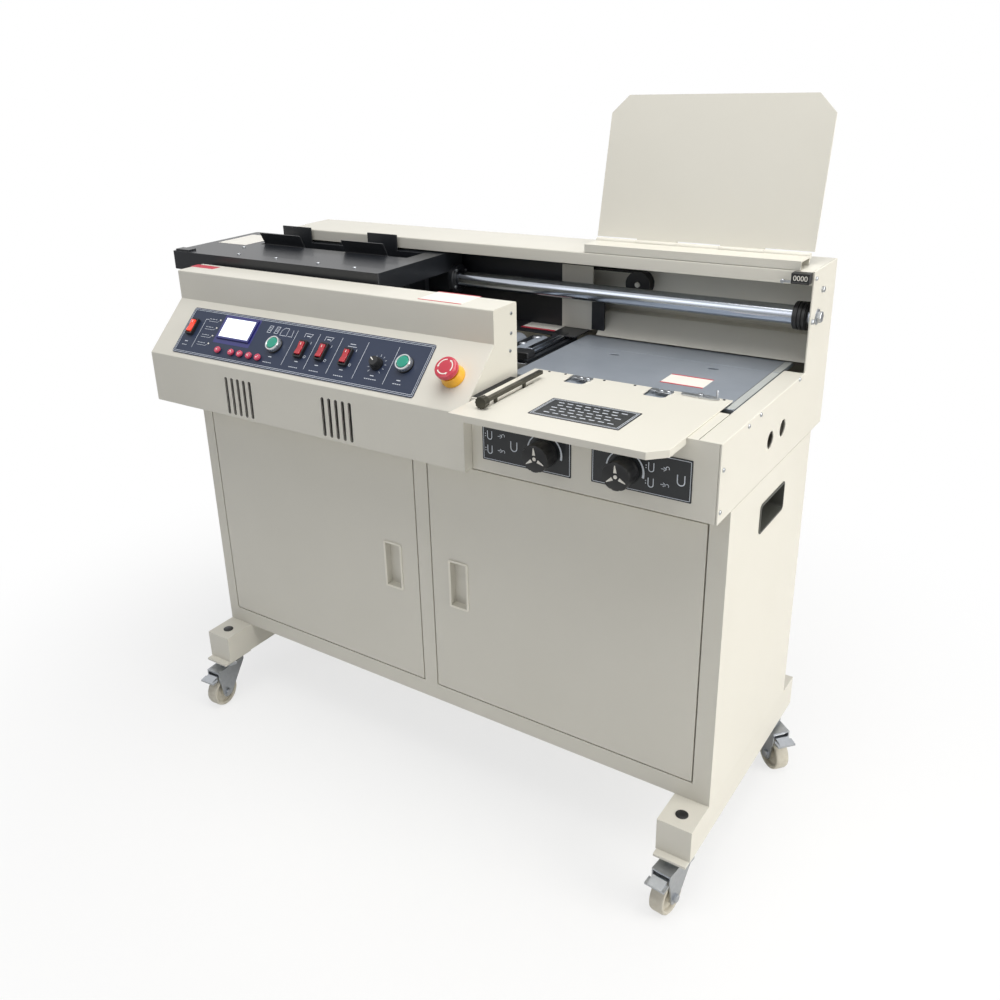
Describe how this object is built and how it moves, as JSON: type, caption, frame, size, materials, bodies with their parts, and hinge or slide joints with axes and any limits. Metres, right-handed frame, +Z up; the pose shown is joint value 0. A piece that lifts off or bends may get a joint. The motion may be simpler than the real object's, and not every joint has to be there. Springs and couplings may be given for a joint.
{
  "type": "perfect binding machine",
  "caption": "Floor-standing perfect binding machine: cabinet on braked casters, control box, feed table, book clamp travelling over mill and glue tank, and a hinged cover board",
  "frame": {"origin": "centre of the bounding box's bottom face, on the floor", "axes": "+X to the operator's right, +Y from front to rear, +Z up"},
  "size_m": [1.308, 0.566, 1.2425],
  "materials": {
    "cream": "satin powder coat",
    "off_white": "moulded nylon",
    "zinc": "zinc plated",
    "steel": "ground and brushed",
    "aluminium": "milled",
    "chrome": "polished hard chrome",
    "navy": "printed panel film",
    "black_paint": "semi-matt",
    "black_plastic": "fine texture",
    "grey_paint": "enamel",
    "rubber": "matt",
    "green": "moulded",
    "red": "moulded",
    "yellow": "moulded"
  },
  "bodies": {
    "machine": {"cabinet_shell": "cream", "base_beam_left": "cream", "base_beam_right": "cream", "head_frame": "cream", "side_plate_right": "cream", "knob_panel": "cream", "control_box": "cream", "panel_overlay": "navy", "lcd_display": "black_plastic", "estop_collar": "yellow", "rear_housing": "cream", "belt_guard": "black_paint", "guide_shaft": "chrome", "board_base": "cream", "feed_table": "cream", "front_nip_plate": "steel", "glue_tank": "aluminium", "milling_motor": "grey_paint", "counter": "black_plastic", "drive_belt": "rubber"},
    "door_left": {"door_left": "cream"},
    "door_right": {"door_right": "cream"},
    "fork_front_left": {"caster_fork_front_left": "zinc"},
    "wheel_front_left": {"caster_wheel_front_left": "off_white"},
    "pedal_front_left": {"caster_pedal_front_left": "zinc"},
    "fork_front_right": {"caster_fork_front_right": "zinc"},
    "wheel_front_right": {"caster_wheel_front_right": "off_white"},
    "pedal_front_right": {"caster_pedal_front_right": "zinc"},
    "fork_rear_left": {"caster_fork_rear_left": "zinc"},
    "wheel_rear_left": {"caster_wheel_rear_left": "off_white"},
    "pedal_rear_left": {"caster_pedal_rear_left": "zinc"},
    "fork_rear_right": {"caster_fork_rear_right": "zinc"},
    "wheel_rear_right": {"caster_wheel_rear_right": "off_white"},
    "pedal_rear_right": {"caster_pedal_rear_right": "zinc"},
    "adjust_knob_left": {"adjust_knob_left": "black_plastic"},
    "adjust_knob_right": {"adjust_knob_right": "black_plastic"},
    "start_button": {"start_button": "green"},
    "cover_button": {"cover_button": "green"},
    "key_1": {"key_1": "red"},
    "key_2": {"key_2": "red"},
    "key_3": {"key_3": "red"},
    "key_4": {"key_4": "red"},
    "key_5": {"key_5": "red"},
    "power_switch": {"power_switch": "red"},
    "rocker_1": {"rocker_1": "red"},
    "rocker_2": {"rocker_2": "red"},
    "rocker_3": {"rocker_3": "red"},
    "speed_knob": {"speed_knob": "black_plastic"},
    "estop_button": {"estop_button": "red"},
    "idler_pulley": {"idler_pulley": "black_plastic"},
    "drive_pulley": {"drive_pulley": "black_plastic"},
    "cover_board": {"cover_board": "cream"},
    "side_gauge": {"side_gauge": "zinc"},
    "rear_nip_plate": {"rear_nip_plate": "steel"},
    "glue_roller_left": {"glue_roller_left": "steel"},
    "glue_roller_right": {"glue_roller_right": "steel"},
    "milling_cutter": {"milling_cutter": "steel"},
    "carriage": {"carriage_frame": "black_paint", "rear_jaw": "black_paint"},
    "front_jaw": {"front_jaw": "black_paint"}
  },
  "joints": [
    {"name": "door_left_hinge", "type": "hinge", "parent": "machine", "child": "door_left", "pos_m": [-0.47201, -0.142, 0.435], "axis": [0, 0, -1], "range_deg": [0, 100]},
    {"name": "door_right_hinge", "type": "hinge", "parent": "machine", "child": "door_right", "pos_m": [0.57699, -0.142, 0.435], "axis": [0, 0, 1], "range_deg": [0, 100]},
    {"name": "swivel_front_left", "type": "hinge", "parent": "machine", "child": "fork_front_left", "pos_m": [-0.47501, -0.194, 0.095], "axis": [0, 0, 1], "continuous": true},
    {"name": "roll_front_left", "type": "hinge", "parent": "fork_front_left", "child": "wheel_front_left", "pos_m": [-0.47257, -0.22892, 0.03335], "axis": [0.9976, 0.0698, 0], "continuous": true},
    {"name": "brake_front_left", "type": "hinge", "parent": "fork_front_left", "child": "pedal_front_left", "pos_m": [-0.47187, -0.23889, 0.079], "axis": [0.9976, 0.0698, 0], "range_deg": [0, 18]},
    {"name": "swivel_front_right", "type": "hinge", "parent": "machine", "child": "fork_front_right", "pos_m": [0.58499, -0.194, 0.095], "axis": [0, 0, 1], "continuous": true},
    {"name": "roll_front_right", "type": "hinge", "parent": "fork_front_right", "child": "wheel_front_right", "pos_m": [0.58133, -0.22881, 0.03335], "axis": [0.9945, -0.1045, 0], "continuous": true},
    {"name": "brake_front_right", "type": "hinge", "parent": "fork_front_right", "child": "pedal_front_right", "pos_m": [0.58028, -0.23875, 0.079], "axis": [0.9945, -0.1045, 0], "range_deg": [0, 18]},
    {"name": "swivel_rear_left", "type": "hinge", "parent": "machine", "child": "fork_rear_left", "pos_m": [-0.47501, 0.235, 0.095], "axis": [0, 0, 1], "continuous": true},
    {"name": "roll_rear_left", "type": "hinge", "parent": "fork_rear_left", "child": "wheel_rear_left", "pos_m": [-0.46774, 0.20076, 0.03335], "axis": [0.9781, 0.2079, 0], "continuous": true},
    {"name": "brake_rear_left", "type": "hinge", "parent": "fork_rear_left", "child": "pedal_rear_left", "pos_m": [-0.46566, 0.19098, 0.079], "axis": [0.9781, 0.2079, 0], "range_deg": [0, 18]},
    {"name": "swivel_rear_right", "type": "hinge", "parent": "machine", "child": "fork_rear_right", "pos_m": [0.58499, 0.235, 0.095], "axis": [0, 0, 1], "continuous": true},
    {"name": "roll_rear_right", "type": "hinge", "parent": "fork_rear_right", "child": "wheel_rear_right", "pos_m": [0.6118, 0.2125, 0.03335], "axis": [0.6428, 0.766, 0], "continuous": true},
    {"name": "brake_rear_right", "type": "hinge", "parent": "fork_rear_right", "child": "pedal_rear_right", "pos_m": [0.61946, 0.20608, 0.079], "axis": [0.6428, 0.766, 0], "range_deg": [0, 18]},
    {"name": "adjust_knob_left_turn", "type": "hinge", "parent": "machine", "child": "adjust_knob_left", "pos_m": [0.33906, -0.201, 0.753], "axis": [0, 1, 0], "continuous": true},
    {"name": "adjust_knob_right_turn", "type": "hinge", "parent": "machine", "child": "adjust_knob_right", "pos_m": [0.47313, -0.201, 0.753], "axis": [0, 1, 0], "continuous": true},
    {"name": "start_button_push", "type": "slide", "parent": "machine", "child": "start_button", "axis": [0, 0.6914, -0.7225], "range_m": [0, 0.004], "stiffness_N_per_m": 600, "springref_m": -0.003},
    {"name": "cover_button_push", "type": "slide", "parent": "machine", "child": "cover_button", "axis": [0, 0.6914, -0.7225], "range_m": [0, 0.004], "stiffness_N_per_m": 600, "springref_m": -0.003},
    {"name": "key_1_push", "type": "slide", "parent": "machine", "child": "key_1", "axis": [0, 0.6914, -0.7225], "range_m": [0, 0.0015], "stiffness_N_per_m": 800, "springref_m": -0.001},
    {"name": "key_2_push", "type": "slide", "parent": "machine", "child": "key_2", "axis": [0, 0.6914, -0.7225], "range_m": [0, 0.0015], "stiffness_N_per_m": 800, "springref_m": -0.001},
    {"name": "key_3_push", "type": "slide", "parent": "machine", "child": "key_3", "axis": [0, 0.6914, -0.7225], "range_m": [0, 0.0015], "stiffness_N_per_m": 800, "springref_m": -0.001},
    {"name": "key_4_push", "type": "slide", "parent": "machine", "child": "key_4", "axis": [0, 0.6914, -0.7225], "range_m": [0, 0.0015], "stiffness_N_per_m": 800, "springref_m": -0.001},
    {"name": "key_5_push", "type": "slide", "parent": "machine", "child": "key_5", "axis": [0, 0.6914, -0.7225], "range_m": [0, 0.0015], "stiffness_N_per_m": 800, "springref_m": -0.001},
    {"name": "power_switch_tilt", "type": "hinge", "parent": "machine", "child": "power_switch", "pos_m": [-0.46501, -0.1794, 0.85079], "axis": [1, 0, 0], "range_deg": [-8, 8]},
    {"name": "rocker_1_tilt", "type": "hinge", "parent": "machine", "child": "rocker_1", "pos_m": [-0.17301, -0.18518, 0.84526], "axis": [1, 0, 0], "range_deg": [-8, 8]},
    {"name": "rocker_2_tilt", "type": "hinge", "parent": "machine", "child": "rocker_2", "pos_m": [-0.12401, -0.18374, 0.84665], "axis": [1, 0, 0], "range_deg": [-8, 8]},
    {"name": "rocker_3_tilt", "type": "hinge", "parent": "machine", "child": "rocker_3", "pos_m": [-0.06701, -0.18518, 0.84526], "axis": [1, 0, 0], "range_deg": [-8, 8]},
    {"name": "speed_knob_turn", "type": "hinge", "parent": "machine", "child": "speed_knob", "pos_m": [0.00199, -0.18241, 0.83947], "axis": [0, -0.6914, 0.7225], "range_deg": [-140, 140]},
    {"name": "estop_push", "type": "slide", "parent": "machine", "child": "estop_button", "axis": [0, 0.6914, -0.7225], "range_m": [0, 0.004]},
    {"name": "carriage_travel", "type": "slide", "parent": "machine", "child": "carriage", "axis": [1, 0, 0], "range_m": [0, 0.64]},
    {"name": "front_jaw_clamp", "type": "slide", "parent": "carriage", "child": "front_jaw", "axis": [0, 1, 0], "range_m": [0, 0.048]},
    {"name": "drive_pulley_turn", "type": "hinge", "parent": "machine", "child": "drive_pulley", "pos_m": [-0.43501, 0.253, 0.916], "axis": [0, 1, 0], "continuous": true},
    {"name": "idler_pulley_turn", "type": "hinge", "parent": "machine", "child": "idler_pulley", "pos_m": [0.27699, 0.253, 0.916], "axis": [0, 1, 0], "continuous": true},
    {"name": "cover_board_hinge", "type": "hinge", "parent": "machine", "child": "cover_board", "pos_m": [0.4, 0.2081, 0.9993], "axis": [1, 0, 0], "range_deg": [0, 100]},
    {"name": "side_gauge_slide", "type": "slide", "parent": "machine", "child": "side_gauge", "axis": [0, 1, 0], "range_m": [-0.02, 0.02]},
    {"name": "rear_nip_open", "type": "slide", "parent": "machine", "child": "rear_nip_plate", "axis": [0, 1, 0], "range_m": [0, 0.02]},
    {"name": "glue_roller_left_turn", "type": "hinge", "parent": "machine", "child": "glue_roller_left", "pos_m": [0.08149, 0.005, 0.804], "axis": [0, 1, 0], "continuous": true},
    {"name": "glue_roller_right_turn", "type": "hinge", "parent": "machine", "child": "glue_roller_right", "pos_m": [0.13349, 0.005, 0.804], "axis": [0, 1, 0], "continuous": true},
    {"name": "cutter_spin", "type": "hinge", "parent": "machine", "child": "milling_cutter", "pos_m": [-0.19501, 0.124, 0.826], "axis": [0, 0, 1], "continuous": true}
  ],
  "couplings": [
    {"joint": "drive_pulley_turn", "follows": "carriage_travel", "rad_per_m": 46.948},
    {"joint": "idler_pulley_turn", "follows": "carriage_travel", "rad_per_m": 46.948},
    {"joint": "glue_roller_right_turn", "follows": "glue_roller_left_turn", "ratio": 1}
  ]
}
